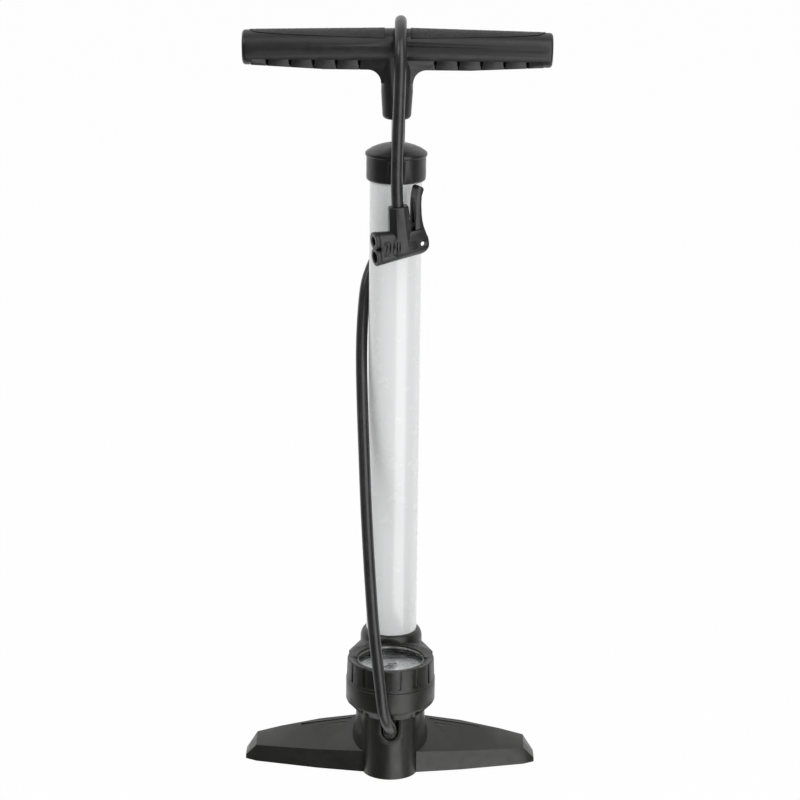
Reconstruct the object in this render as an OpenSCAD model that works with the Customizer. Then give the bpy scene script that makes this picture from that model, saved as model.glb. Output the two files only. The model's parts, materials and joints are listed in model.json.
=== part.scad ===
// Floor pump with a gauge in the base, a T-handle and a twin-port lever head.
// Millimetres, +Z up. The barrel's axis is the Z axis and the floor is z = 0.
// +X is to the right of someone facing the gauge, and -Y points at that person.

/* [Barrel] */
// Outside diameter of the barrel tube
barrel_d = 38; // [36:0.5:38]
// Wall thickness of the barrel tube
barrel_wall = 1.2; // [1:0.1:1.6]
// Height of the barrel tube's top edge
barrel_top = 469; // [467:1:469]
// Diameter of the piston rod
rod_d = 8; // [7:0.5:8]
// Travel of the plunger from the lower stop to the upper stop
stroke = 345; // [200:5:345]

/* [Handle] */
// Overall width of the handle
handle_w = 221; // [200:1:230]
// Diameter of the handle's round arms
arm_d = 26; // [25:0.5:26]
// Diameter of the arms at their tips
arm_tip_d = 24.8; // [24:0.2:26]
// Angle by which the arms' axes fall towards the tips
arm_slope = 0.88; // [0:0.02:1]
// Height of the arms' axis at the lower stop
arm_z = 546.3; // [546:0.1:547]
// Number of finger notches along each arm's keel
notch_count = 5; // [3:1:5]
// Distance between finger notches
notch_pitch = 16.4; // [14:0.2:17]

/* [Base] */
// Distance from the barrel's axis to the tip of a leg
leg_reach = 110.5; // [105:0.5:115]
// Height of the joint between the base and the upper shell
seam_z = 84.8; // [84:0.1:85.5]
// Thickness of each foot pad that stands proud of the base
pad_proud = 1; // [0.8:0.1:1.5]
// Number of tread ribs on each leg
tread_count = 3; // [2:1:4]

/* [Gauge] */
// Distance from the barrel's axis to the gauge's axis
gauge_reach = 50; // [50:0.5:52]
// Outside radius of the gauge housing
housing_r = 32.9; // [32:0.1:33.5]
// Outside radius of the trim ring round the lens
trim_r = 24.7; // [24:0.1:24.7]
// Number of grip grooves round the bezel
groove_count = 15; // [12:1:18]

/* [Pump head] */
// Angle by which the head is turned towards the front
head_yaw = 24; // [20:1:24]
// Angle by which the head hangs down at its ports
head_droop = 5.5; // [4:0.5:6]
// Radius of the port for a Schrader valve
schrader_r = 4.1; // [4:0.05:4.2]
// Radius of the port for a Presta valve
presta_r = 3.2; // [3:0.05:3.3]
// Travel of the pusher while the lever turns a quarter turn
pusher_travel = 2; // [1.5:0.1:2]

/* [Hose] */
// Outside diameter of the hose
hose_d = 8.5; // [8:0.1:8.5]
// Sides of the hose tube
hose_sides = 12; // [8:2:12]

/* [Hidden] */
$fn = 96;

// Small distances that are used throughout
fit = 0.05;
eps = 0.02;
barrel_r = barrel_d / 2;
bore_r = barrel_r - barrel_wall;
rod_r = rod_d / 2;
arm_r = arm_d / 2;

// Heights along the barrel
gasket_z = 70;
barrel_bottom = gasket_z + 1.5;
piston_top = 101;
bumper_bottom = piston_top + stroke + 0.5;
bush_bottom = bumper_bottom + 5.5;
cap_skirt_z = 449.9;
cap_rim_z = 469.6;
cap_top_z = cap_rim_z + 7.9;
dome_curve = [[22.4, 0.7], [21.6, 1.4], [20, 2.5], [18, 3.8], [14.5, 5.3], [10, 6.7], [5, 7.6]];
cap_skirt_r = barrel_r + 2.6;
cap_rim_r = barrel_r + 3.45;

// Base and housing
socket_r = barrel_r + 0.05;
collar_r = barrel_r + 4.2;
collar_top = 106.5;
base_z = pad_proud;
nose_r = 21;
nose_y = -24.5;
column_y = -10;
column_r = 28.6;
gauge_pos = [0, -gauge_reach, 0];
rim_z = 102.2;
trim_z = 100.5;
lens_z = 95.6;
lens_top = lens_z + 1.6;
lip_r = trim_r - 0.9;
trim_h = 1.3;
dial_z = 92;
duct_z = 48;
riser_y = -34;
elbow_z = 41;
elbow_y = -50;
barb_tilt = 60;
gland_z = 44.1;
screw_spots = [[-18.2, -21.6], [18.2, -21.6], [-24.5, 14.1], [24.5, 14.1]];

// Stations along one leg: x, front y, front top z, crest y, crest z, back y, back top z
leg_stations = [
    [14, -31.8, 18, 12, 31.5, 33, 18],
    [54, -24.8, 16.2, 12, 26.2, 26, 17],
    [84, -17.3, 14.8, 10, 20.6, 18.5, 15],
    [102, -12.8, 14.1, 7, 17, 13, 13.5],
    [leg_reach - 0.3, -8, 4, 0, 4.6, 7.5, 4]
];

// Pump head: its own frame has x along the head to the lever, y to the back and z up the collar
head_pos = [3.8, -34, 409.5];
port_x = -20.5;
port_z = 5.9;
pin_x = 13.4;
collar_h = 28;
hose_seat_h = 19;
cam_r = 5;
cam_throw = 2;
cam_gap = 0.5;
lever_half_w = 5.3;

// Handle
keel_top = arm_z - 9;
keel_bottom = arm_z - 16;
stem_bottom = 494.5;
pad_start = 9.4;
pad_end = 107;
keel_end = 103.5;

// Route of the hose's centre line, from the boot to the pump head
hose_route = [
    [0, -69.05, 52], [0, -74.2, 55], [-1.2, -80, 59.3], [-3, -86.2, 66], [-5.2, -90.4, 76.5], [-7.4, -91.2, 95],
    [-9.8, -87.6, 114], [-12.3, -81.6, 134], [-14.3, -73, 154], [-17, -58, 186], [-19.3, -42.5, 218],
    [-21.2, -27, 252], [-22.9, -13, 284], [-24, -1, 316], [-23.6, 8, 342], [-21.6, 16.2, 366],
    [-18, 21.5, 379], [-12.5, 25, 391], [-6.5, 27.8, 403], [-1.8, 29.7, 418], [0.6, 31, 435],
    [1.4, 31.8, 452], [1.8, 32.5, 475], [2.1, 33, 503], [2.2, 33, 531], [2.2, 28.6, 547.5],
    [2.2, 16.5, 559.6], [2.2, 0, 564], [2.2, -16.5, 559.6], [2.2, -28.6, 547.5], [2.1, -33, 531],
    [1.5, -33, 505], [0.8, -33.6, 480], [0.6, -34.6, 457], [1.1, -35.2, 441], [2.1, -34.7, 428.6]
];
split_point = 21;

// Finishes
black = [0.09, 0.09, 0.09];
rubber = [0.14, 0.14, 0.14];
steel = [0.72, 0.73, 0.75];
brass = [0.78, 0.66, 0.36];

// ---- Helpers ----

// Points of an arc about c, from angle a to angle b
function arc(c, r, a, b, n = 8) =
    [for (i = [0:n]) c + r * [cos(a + (b - a) * i / n), sin(a + (b - a) * i / n)]];

// Points of a quarter ellipse about c, from its side up to its top
function bulge(c, rx, ry, n = 10) =
    [for (i = [0:n]) c + [rx * cos(90 * i / n), ry * sin(90 * i / n)]];

module ring(r_out, r_in, z0, z1) {
    translate([0, 0, z0]) difference() {
        cylinder(r = r_out, h = z1 - z0);
        translate([0, 0, -1]) cylinder(r = r_in, h = z1 - z0 + 2);
    }
}

module rod_piece(r, z0, z1) {
    translate([0, 0, z0]) cylinder(r = r, h = z1 - z0);
}

// A bar along the y axis
module y_rod(r, y0, y1) {
    translate([0, y0, 0]) rotate([-90, 0, 0]) cylinder(r = r, h = y1 - y0);
}

// A bar along the x axis
module x_rod(r, x0, x1) {
    translate([x0, 0, 0]) rotate([0, 90, 0]) cylinder(r = r, h = x1 - x0);
}

module block(x0, x1, y0, y1, z0, z1) {
    translate([x0, y0, z0]) cube([x1 - x0, y1 - y0, z1 - z0]);
}

// ---- Swept tube ----

// Position on a smooth curve through points p, on the stretch after point i, at fraction t
function spline(p, i, t) =
    let (n = len(p) - 1)
    let (a = p[max(i - 1, 0)], b = p[i], c = p[min(i + 1, n)], d = p[min(i + 2, n)])
    0.5 * (2 * b + (c - a) * t + (2 * a - 5 * b + 4 * c - d) * t * t + (3 * b - a - 3 * c + d) * t * t * t);

function unit(v) = v / norm(v);

// Direction of travel at point i of list p
function heading(p, i) = unit(p[min(i + 1, len(p) - 1)] - p[max(i - 1, 0)]);

// One ring of points round point i of list p
function tube_ring(p, i, r, sides) =
    let (t = heading(p, i))
    let (side = unit(cross(t, [1, 0, 0])))
    let (other = cross(t, side))
    [for (k = [0:sides - 1]) p[i] + r * (cos(360 * k / sides) * side + sin(360 * k / sides) * other)];

// Closed tube along points first to last of list p
module tube(p, r, sides, first, last) {
    rings = last - first + 1;
    points = [for (i = [first:last]) each tube_ring(p, i, r, sides)];
    walls = [
        for (i = [0:rings - 2], k = [0:sides - 1])
            let (a = i * sides + k, b = i * sides + (k + 1) % sides)
            [a, b, b + sides, a + sides]
    ];
    start_cap = [[for (k = [sides - 1:-1:0]) k]];
    end_cap = [[for (k = [0:sides - 1]) (rings - 1) * sides + k]];
    polyhedron(points = points, faces = concat(walls, start_cap, end_cap), convexity = 6);
}

hose_line = concat(
    [for (i = [0:len(hose_route) - 2], t = [0, 0.5]) spline(hose_route, i, t)],
    [hose_route[len(hose_route) - 1]]
);

// ---- Base ----

// Cross-section of a leg at station s
module leg_section(s) {
    polygon([[s[1], base_z], [s[5], base_z], [s[5], s[6]], [s[3], s[4]], [s[1], s[2]]]);
}

module leg_slice(s) {
    translate([s[0], 0, 0]) rotate([90, 0, 90]) linear_extrude(0.1) leg_section(s);
}

// Right-hand leg, lofted through its stations
module leg() {
    for (i = [0:1]) hull() {
        leg_slice(leg_stations[i]);
        leg_slice(leg_stations[i + 1]);
    }
    hull() for (i = [2:len(leg_stations) - 1]) leg_slice(leg_stations[i]);
}

// Tread ribs that lie on the slope before the crest
module tread_ribs() {
    rise = atan((leg_stations[0][4] - leg_stations[1][4]) / (leg_stations[1][0] - leg_stations[0][0]));
    for (i = [0:tread_count - 1])
        translate([24, 9.5 - 3.6 * i, 29.2 - 1.05 * i])
            rotate([0, rise + 0.9 * i, -1.4]) block(6 + 4 * i, 45 - 6 * i, -0.8, 0.8, -3, 0.6);
}

// Spaces between the ribs under one leg
module leg_pockets() {
    for (x = [31, 50, 69])
        linear_extrude(4) polygon([
            [x, -25 + 0.2 * (x - 31)], [x + 16, -21.8 + 0.2 * (x - 31)],
            [x + 16, 22 - 0.25 * (x - 31)], [x, 26 - 0.25 * (x - 31)]
        ]);
}

module column() {
    translate([0, column_y, 0]) rotate_extrude() polygon([
        [0, base_z], [column_r, base_z], [column_r, 27], [26.2, 38], [25.6, 62], [24.8, 68], [0, 68]
    ]);
    rotate_extrude() polygon([
        [0, base_z], [27, base_z], [27, 24], [25.2, 50], [collar_r, 62], [collar_r, seam_z], [0, seam_z]
    ]);
    translate([0, nose_y, base_z]) cylinder(r = nose_r, h = 61.5 - base_z);
    translate([0, 0, base_z]) linear_extrude(61.5 - base_z)
        polygon([[-24.3, -18.1], [24.3, -18.1], [19.9, -31.2], [-19.9, -31.2]]);
    translate([-14.2, 0, 0]) rotate([90, 0, 90]) linear_extrude(28.4) leg_section(leg_stations[0]);
}

// Bridge between the gauge housing and the barrel's collar, seen from above
module shoulders(z0, z1) {
    translate([0, 0, z0]) linear_extrude(z1 - z0)
        polygon([[-31.1, -50], [31.1, -50], [31.1, -37], [23.1, -15], [-23.1, -15], [-31.1, -37]]);
}

// Pocket in the nose that the hose's boot drops into
module gland() {
    translate([0, -40, gland_z]) rotate([90, 0, 0]) linear_extrude(15) difference() {
        union() {
            circle(r = 9.4);
            translate([0, -1.6]) circle(r = 9.4);
            translate([-9.4, -1.6]) square([18.8, 15.2]);
        }
        circle(r = 6.5);
        translate([-6.5, 0]) square([13, 20]);
    }
}

module base_body() {
    color(black) difference() {
        union() {
            column();
            translate(gauge_pos) rotate_extrude() polygon([
                [0, 61.5], [25.2, 61.5], [housing_r - 0.6, 69], [housing_r, 70.4],
                [housing_r, seam_z - 0.5], [housing_r - 0.5, seam_z], [0, seam_z]
            ]);
            shoulders(70.4, seam_z);
            gland();
            leg();
            mirror([1, 0, 0]) leg();
            tread_ribs();
            mirror([1, 0, 0]) tread_ribs();
        }
        // socket for the barrel, and the check valve's chamber under it
        rod_piece(socket_r, gasket_z, 90);
        rod_piece(9 + fit, 62, gasket_z + 1);
        rod_piece(6, 44, 63);
        // air ways to the hose and to the gauge
        translate([0, 0, duct_z]) y_rod(2, riser_y, 0);
        translate([0, riser_y, elbow_z]) cylinder(r = 1.5, h = 72.1 - elbow_z);
        translate([0, riser_y, 66]) cylinder(r = 3 + fit, h = 8);
        translate([0, 0, elbow_z]) y_rod(4.4, -56, riser_y - 0.5);
        translate([0, 0, elbow_z]) y_rod(1.5, riser_y - 1, riser_y + 1);
        // well for the gauge
        translate([0, -gauge_reach, 72]) cylinder(r = 24.9, h = 20);
        for (s = screw_spots) translate([s[0], s[1] - gauge_reach, 0]) {
            rod_piece(3.5, 50, 72);
            rod_piece(2.1, 50, 90);
        }
        // seats for the foot pads, and the hollows under the legs
        for (side = [-1, 1]) translate([side * 95, 0, 0]) rod_piece(8.6, -1, 3);
        front_sole(-1, 3);
        leg_pockets();
        mirror([1, 0, 0]) leg_pockets();
    }
}

module upper_shell() {
    color(black) difference() {
        union() {
            // collar round the barrel, with a soft top edge
            rotate_extrude() polygon(concat(
                [[0, seam_z], [collar_r, seam_z]],
                bulge([barrel_r + 0.5, 99.5], collar_r - barrel_r - 0.5, collar_top - 99.5),
                [[0, collar_top]]
            ));
            // bezel, whose top falls inwards to the trim ring
            translate(gauge_pos) rotate_extrude() polygon([
                [0, seam_z], [housing_r - 0.5, seam_z], [housing_r, seam_z + 0.5], [housing_r, 86.6],
                [housing_r - 0.5, 87.4], [31.9, 101.2], [31.2, rim_z], [trim_r, trim_z - 0.1], [0, trim_z - 0.1]
            ]);
            shoulders(seam_z, 101.4);
        }
        rod_piece(socket_r, seam_z - 1, collar_top + 1);
        translate(gauge_pos) {
            rod_piece(trim_r + fit, seam_z - 1, lens_top);
            rod_piece(lip_r, seam_z - 1, rim_z + 1);
            rod_piece(trim_r + fit, trim_z - trim_h, rim_z + 1);
            // grip grooves round the open side of the bezel
            for (i = [0:groove_count - 1]) {
                a = (i + 0.5) * 360 / groove_count;
                if (abs(a - 180) > 65) rotate([0, 0, a - 90])
                    block(housing_r - 1.5, housing_r + 1, -1.25, 1.25, 87.6, rim_z + 1);
            }
            for (s = screw_spots) translate([s[0], s[1], 0]) rod_piece(1.9 + fit, seam_z - 1, 95);
        }
        translate([0, 0, 101.4]) block(-24, 24, -27.2, -22, 0, 8);
    }
}

module foot_pad(x, y, r) {
    color(rubber) translate([x, y, 0]) union() {
        rod_piece(r, 0.4, 3);
        cylinder(r1 = r - 0.4, r2 = r, h = 0.4);
    }
}

module left_foot_pad() foot_pad(-95, 0, 8.6);
module right_foot_pad() foot_pad(95, 0, 8.6);

// Long sole from the nose to just behind the barrel's axis
module front_sole(z0, z1) {
    translate([0, nose_y, 0]) rod_piece(10.1, z0, z1);
    translate([0, 3, 0]) rod_piece(10.1, z0, z1);
    block(-10.1, 10.1, nose_y, 3, z0, z1);
}

module front_foot_pad() color(rubber) front_sole(0, 3);

module housing_screws() {
    color(steel) for (s = screw_spots) translate([s[0], s[1] - gauge_reach, 0]) {
        difference() {
            rod_piece(3.2, 69.4, 72);
            rotate([0, 0, 45]) block(-2.6, 2.6, -0.5, 0.5, 68, 70.6);
            rotate([0, 0, -45]) block(-2.6, 2.6, -0.5, 0.5, 68, 70.6);
        }
        rod_piece(1.9, 72, 94);
    }
}

// ---- Barrel and check valve ----

module barrel() color("white") ring(barrel_r, bore_r, barrel_bottom, barrel_top);

module barrel_gasket() color(rubber) ring(barrel_r, 15.5, gasket_z, barrel_bottom);

module valve_seat() {
    color(brass) difference() {
        union() {
            rod_piece(9, 62, gasket_z);
            translate([0, 0, gasket_z]) cylinder(r = 8, h = 2.4, $fn = 6);
        }
        rod_piece(2.5, 60, 75);
    }
}

module valve_poppet() {
    color(brass) union() {
        rod_piece(4, 60, 61.9);
        rod_piece(1.4, 52, 60);
    }
}

spring_bottom = 44.5;
spring_top = 59.5;
spring_turns = 5;
spring_line = [
    for (i = [0:spring_turns * 14])
        let (a = i * 360 / 14)
        [3 * cos(a), 3 * sin(a), spring_bottom + (spring_top - spring_bottom) * i / (spring_turns * 14)]
];

// One ring of points round point i of a vertical coil
function coil_ring(p, i, r, sides) =
    let (out = unit([p[i][0], p[i][1], 0]))
    [for (k = [0:sides - 1]) p[i] + r * (cos(360 * k / sides) * out + sin(360 * k / sides) * [0, 0, 1])];

module valve_spring() {
    sides = 8;
    rings = len(spring_line);
    color(steel) polyhedron(
        points = [for (i = [0:rings - 1]) each coil_ring(spring_line, i, 0.4, sides)],
        faces = concat(
            [for (i = [0:rings - 2], k = [0:sides - 1])
                let (a = i * sides + k, b = i * sides + (k + 1) % sides) [a, b, b + sides, a + sides]],
            [[for (k = [sides - 1:-1:0]) k]],
            [[for (k = [0:sides - 1]) (rings - 1) * sides + k]]
        ), convexity = 10);
}

// ---- Cap and rod guide ----

module barrel_cap() {
    color(black) difference() {
        rotate_extrude() polygon(concat(
            [[0, cap_skirt_z], [cap_skirt_r - 2.2, cap_skirt_z]],
            arc([cap_skirt_r - 2.2, cap_skirt_z + 2.2], 2.2, -90, 0),
            [[cap_skirt_r, cap_rim_z - 2], [cap_rim_r, cap_rim_z - 1.2], [cap_rim_r, cap_rim_z]],
            [for (p = dome_curve) [p[0], cap_rim_z + p[1]]],
            [[0, cap_top_z]]
        ));
        rod_piece(socket_r, cap_skirt_z - 1, barrel_top + 0.2);
        rod_piece(rod_r + 0.7, barrel_top, cap_top_z + 1);
        rod_piece(7, barrel_top, 473);
        // channel down the front for the hose, with a wider mouth under the rim
        block(-6.4, 6.6, -30, -20.4, cap_skirt_z - 1, cap_rim_z - 2.6);
        block(-7.6, 8, -30, -21.4, cap_rim_z - 6, cap_rim_z - 1);
        block(-4.7, 5.3, -30, -20.4, cap_rim_z - 3, cap_top_z);
    }
}

module rod_bush() color([0.85, 0.85, 0.82]) ring(bore_r - fit, rod_r + fit, bush_bottom, barrel_top + 0.2);

module top_bumper() color(rubber) ring(14, rod_r + 0.3, bumper_bottom, bush_bottom);

module rod_wiper() color(rubber) ring(7 - fit, rod_r + fit, barrel_top + 0.2, 473);

// ---- Gauge ----

module gauge_case() {
    color(black) translate(gauge_pos) difference() {
        rod_piece(24.4, 72, lens_z);
        rod_piece(23.6, 72.8, lens_z + 1);
        translate([0, riser_y + gauge_reach, 0]) rod_piece(3 + fit, 70, 76);
    }
}

module gauge_socket() {
    color(brass) difference() {
        union() {
            translate([0, riser_y, 0]) rod_piece(3, 66.5, 80);
            block(-4, 4, riser_y - 3.2, riser_y + 3.2, 72.8, 84.5);
        }
        translate([0, riser_y, 0]) rod_piece(1, 66, 83);
    }
}

module bourdon_tube() {
    color(brass) translate([0, -gauge_reach, 81]) rotate([0, 0, 107])
        rotate_extrude(angle = 240) translate([16, 0]) circle(r = 2, $fn = 32);
}

module gauge_movement() {
    color(brass) translate(gauge_pos) difference() {
        union() {
            rod_piece(9, 74.5, 75.7);
            rod_piece(9, 90.8, dial_z);
            for (a = [0, 120, 240]) rotate([0, 0, a + 30]) translate([7, 0, 0]) rod_piece(1.2, 72.8, 91);
        }
        rod_piece(0.85, 72, 95);
    }
}

module gauge_dial() color([0.85, 0.86, 0.88]) translate(gauge_pos) ring(23.5, 1.2, dial_z, dial_z + 0.8);

module gauge_needle() {
    color("black") translate(gauge_pos) union() {
        rod_piece(0.8, 74.7, 94);
        rod_piece(2.2, 93.6, 95);
        translate([0, 0, 94]) rotate([0, 0, 225]) linear_extrude(0.6) polygon([
            [-6, -0.9], [3, -0.9], [17.5, -0.25], [17.5, 0.25], [3, 0.9], [-6, 0.9]
        ]);
    }
}

module gauge_lens() color([0.8, 0.9, 0.95, 0.35]) translate(gauge_pos) rod_piece(24.6, lens_z, lens_top);

module trim_ring() {
    color(steel) translate(gauge_pos) rotate_extrude() polygon(concat(
        [[trim_r, trim_z - trim_h]],
        arc([trim_r - 0.5, trim_z - 0.5], 0.5, 0, 180, 8),
        [[trim_r - 1, trim_z - trim_h]]
    ));
}

// ---- Hose fittings at the base ----

module hose_elbow() {
    color(brass) union() {
        translate([0, 0, elbow_z]) y_rod(4, elbow_y, riser_y - 0.6);
        translate([0, elbow_y, elbow_z]) sphere(r = 4);
        translate([0, elbow_y, elbow_z]) rotate([barb_tilt, 0, 0]) {
            rod_piece(2.4, 0, 17);
            for (z = [8, 11.5, 15]) translate([0, 0, z]) cylinder(r1 = 2.9, r2 = 2.4, h = 1.8);
        }
    }
}

module hose_boot() {
    color(rubber) translate([0, elbow_y, elbow_z]) rotate([barb_tilt, 0, 0]) difference() {
        union() {
            translate([0, 0, 4.2]) cylinder(r1 = 5.3, r2 = 5, h = 9);
            translate([0, 0, 13.2]) cylinder(r1 = 5, r2 = 4.6, h = 8.6);
        }
        rod_piece(2.95, 4, 17.3);
    }
}

module hose_lower() {
    color(rubber) tube(hose_line, hose_d / 2, hose_sides, 0, 2 * split_point);
}

module hose_upper() {
    color(rubber) tube(hose_line, hose_d / 2, hose_sides, 2 * split_point, len(hose_line) - 1);
}

// ---- Handle ----

// The space above the pads' lower edges on the right-hand arm
module pad_zone() {
    translate([0, 20, arm_z]) rotate([90, 0, 0]) linear_extrude(40)
        polygon([[pad_start, 7.2], [80, 8.9], [100, 9.9], [pad_end, 11.6], [pad_end, 20], [pad_start, 20]]);
}

// Radius of an arm at distance x from the middle
function arm_radius(x) = arm_r + (arm_tip_d / 2 - arm_r) * x / (handle_w / 2);

// A solid that follows an arm, with its surface moved outwards by g
module arm_solid(g, x0, x1) {
    translate([0, 0, arm_z]) rotate([0, 90 + arm_slope, 0]) translate([0, 0, x0])
        cylinder(r1 = arm_radius(x0) + g, r2 = arm_radius(x1) + g, h = x1 - x0);
}

// An arm from the middle to its rounded tip
module arm_round(x1) {
    translate([0, 0, arm_z]) rotate([0, 90 + arm_slope, 0]) rotate_extrude() polygon(concat(
        [[0, 0], [arm_r, 0]], arc([arm_tip_d / 2 - 2.4, x1 - 2.4], 2.4, 0, 90, 6), [[0, x1]]
    ));
}

// Right-hand arm: a round shell, a keel with finger notches, and a fillet to the stem
module handle_arm() {
    difference() {
        arm_round(handle_w / 2);
        block(-3, keel_end, -20, 20, 0, keel_top);
        block(-3, 0, -20, 20, 500, 600);
        intersection() {
            pad_zone();
            difference() {
                arm_solid(7, 0, 120);
                arm_solid(-2, -1, 121);
            }
        }
    }
    difference() {
        translate([0, 0, arm_z]) rotate([90, 0, 90]) linear_extrude(keel_end + 0.5)
            polygon([[-8.9, -8], [-8.9, -9.2], [-6.6, -16], [6.6, -16], [8.9, -9.2], [8.9, -8]]);
        translate([52, -20, keel_bottom]) rotate([0, -2.9, 0]) block(0, 80, 0, 40, -12, 0);
        for (i = [0:notch_count - 1], side = [-1, 1])
            for (half = [[1.5, 3.4, keel_top - keel_bottom], [0.8, -1, 3.4]])
                translate([27 + notch_pitch * i, 0, keel_bottom + half[1]]) linear_extrude(half[2] - half[1])
                    polygon([[-half[0], side * 9.6], [half[0], side * 9.6], [0, side * 4.9]]);
    }
    difference() {
        block(0, 21, -6.6, 6.6, keel_bottom - 9.5, keel_bottom + 2);
        translate([21, 0, keel_bottom - 9.5]) y_rod(9.5, -8, 8);
    }
}

module handle_body() {
    color(black) difference() {
        union() {
            handle_arm();
            mirror([1, 0, 0]) handle_arm();
            rotate_extrude() polygon(concat(
                [[0, stem_bottom]], arc([7, stem_bottom + 3.4], 3.4, -90, 0),
                [[11.4, 514], [11.4, arm_z], [0, arm_z]]
            ));
        }
        rod_piece(rod_r, stem_bottom - 1, 541);
        // saddle for the hose
        block(-5.5, 8, -20, -9.6, stem_bottom - 1, arm_z - 6);
        translate([0, 0, 503.5]) y_rod(1.5, -20, 20);
    }
}

module grip_pad() {
    intersection() {
        pad_zone();
        difference() {
            arm_solid(0.35, 0, 120);
            arm_solid(-2, -1, 121);
        }
    }
}

module right_grip_pad() color(rubber) grip_pad();
module left_grip_pad() color(rubber) mirror([1, 0, 0]) grip_pad();

module handle_pin() color(steel) translate([0, 0, 503.5]) y_rod(1.5, -9.4, 11);

// ---- Rod and piston ----

module rod() {
    color(steel) difference() {
        union() {
            rod_piece(3, 76, 90);
            rod_piece(rod_r, 90, 541);
        }
        translate([0, 0, 503.5]) y_rod(1.5, -20, 20);
    }
}

module piston_body() {
    color([0.85, 0.85, 0.82]) difference() {
        rotate_extrude() polygon([
            [0, 88], [bore_r - 0.8, 88], [bore_r - 0.3, 89], [bore_r - 0.3, 92], [bore_r - 2, 93],
            [bore_r - 2, 96], [bore_r - 0.3, 97], [bore_r - 0.3, 100], [bore_r - 1.3, piston_top], [0, piston_top]
        ]);
        rod_piece(3, 87, 90.5);
        rod_piece(rod_r, 90, 102);
    }
}

module piston_cup_seal() {
    color(rubber) rotate_extrude() polygon([
        [3, 86], [14.6, 86], [15.9, 84.5], [16.2, 79], [bore_r - fit, 79], [bore_r - fit, 87], [bore_r - 1, 88], [3, 88]
    ]);
}

module piston_washer() color(steel) ring(13.5, 3, 84.4, 86);

module piston_nut() {
    color(steel) difference() {
        translate([0, 0, 78.4]) cylinder(r = 6.5, h = 6, $fn = 6);
        rod_piece(3, 78, 85);
    }
}

// ---- Pump head ----

module in_head() {
    translate(head_pos) rotate([0, -head_droop, head_yaw]) children();
}

// One of the two flared port tubes, above or below the head's axis
module port_tube(side) {
    translate([0, 0, side * 3.6]) rotate([0, side * 6.4, 0]) x_rod(6.6, -24, 6);
}

// The head's outline at its ports
module port_outline() {
    translate([0, 0, port_z]) x_rod(6.45, port_x, port_x + 3);
    translate([0, 0, -port_z]) x_rod(6.45, port_x, port_x + 3);
    block(port_x, port_x + 3, -2.6, 2.6, -4, 4);
}

module head_body() {
    color(black) in_head() difference() {
        union() {
            x_rod(9.4, -6, pin_x - 4.3);
            port_tube(1);
            port_tube(-1);
            translate([port_x, 0, -port_z]) rotate([0, -5.3, 0]) x_rod(6.45, -3, 29.5);
            translate([-17.5, 0, 0]) rotate([0, 90, 0]) cylinder(r1 = 5.5, r2 = 9.4, h = 12);
            // eight-sided collar
            translate([0.5, 0, 0]) rotate([0, 0, 8]) {
                cylinder(r1 = 9.6, r2 = 7.5, h = collar_h - 0.6, $fn = 8);
                translate([0, 0, collar_h - 0.6]) cylinder(r1 = 7.5, r2 = 7, h = 0.6, $fn = 8);
            }
            // ears that carry the lever's pin
            intersection() {
                rotate([90, 0, 0]) translate([0, 0, -8.8]) linear_extrude(17.6) union() {
                    translate([pin_x - 4.3, 0]) circle(r = 9.3);
                    polygon([
                        [5, 9.8], [pin_x + 3.2, 9.8], [pin_x + 4.6, 5], [pin_x + 5, 0], [pin_x - 4, -2], [5, 0]
                    ]);
                }
                union() {
                    x_rod(9.4, 0, 30);
                    block(0, 18, -7.4, 7.4, 0, 12);
                }
            }
        }
        // square off the ports, and leave room for the end cap
        block(-30, port_x + 3, -12, 12, -20, 20);
        for (side = [-1, 1]) translate([0, 0, side * port_z]) x_rod(4.9, port_x, -9.5);
        block(-10.3, -5.3, -3.4, 3.4, -9.2, 9.2);
        x_rod(4.1, -8.2, 8);
        // grip slots between the two port tubes
        for (i = [0:4], side = [-1, 1])
            translate([-14 + 2.4 * i, side * (11.7 + 0.62 * i), 0]) rotate([0, 9, 0])
                block(-0.55, 0.55, -6, 6, -5.5, 5.5);
        // slot for the lever
        block(6.2, 30, -lever_half_w - 0.2, lever_half_w + 0.2, -7.3, 20);
        translate([pin_x, 0, 0]) y_rod(1.5, -12, 12);
        // seat for the hose
        rod_piece(hose_d / 2 + 0.15, hose_seat_h, collar_h + 1);
        rod_piece(1.5, 3.9, hose_seat_h + 1);
    }
}

module head_end_cap() {
    color(black) in_head() difference() {
        port_outline();
        translate([0, 0, port_z]) x_rod(presta_r, port_x - 1, port_x + 4);
        translate([0, 0, -port_z]) x_rod(schrader_r, port_x - 1, port_x + 4);
    }
}

module port_gasket(side, r) {
    color(rubber) in_head() translate([0, 0, side * port_z]) difference() {
        x_rod(4.85, port_x + 3, port_x + 8);
        x_rod(r, port_x + 2, port_x + 9);
    }
}

module presta_gasket() port_gasket(1, presta_r - 0.9);
module schrader_gasket() port_gasket(-1, schrader_r - 1.1);

module head_pusher() {
    color([0.75, 0.75, 0.72]) in_head() union() {
        for (side = [-1, 1]) translate([0, 0, side * port_z]) x_rod(3.2, -10, -7.5);
        block(-8, -5.5, -3.2, 3.2, -9, 9);
        x_rod(4, -5.6, pin_x - cam_r - cam_gap);
    }
}

module lever_pin() color(steel) in_head() translate([pin_x, 0, 0]) y_rod(1.5, -8.2, 8.2);

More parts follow.
